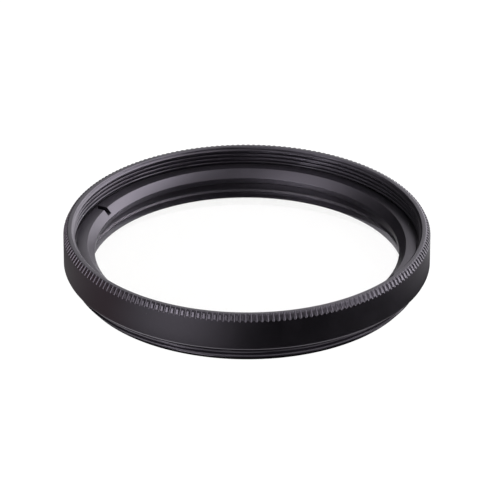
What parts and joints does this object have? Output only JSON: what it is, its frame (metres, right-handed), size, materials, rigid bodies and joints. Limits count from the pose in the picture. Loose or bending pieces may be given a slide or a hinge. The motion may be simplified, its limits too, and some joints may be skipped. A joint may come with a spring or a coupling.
{
  "type": "screw-in lens filter",
  "caption": "Knurled black ring with a clear coated glass disc, a male thread behind, a female thread in front and a slotted retaining ring.",
  "frame": {"origin": "centre of the rear end, where the part rests", "axes": "+Z along the optical axis, towards the front with the knurled edge"},
  "size_m": [0.0426, 0.0426, 0.0065],
  "materials": {
    "black_anodised": "satin black anodised, turned",
    "coated_glass": "polished clear, anti-reflection coated on both faces"
  },
  "bodies": {
    "root": {"filter_ring": "black_anodised", "glass": "coated_glass", "retaining_ring": "black_anodised"}
  },
  "joints": []
}
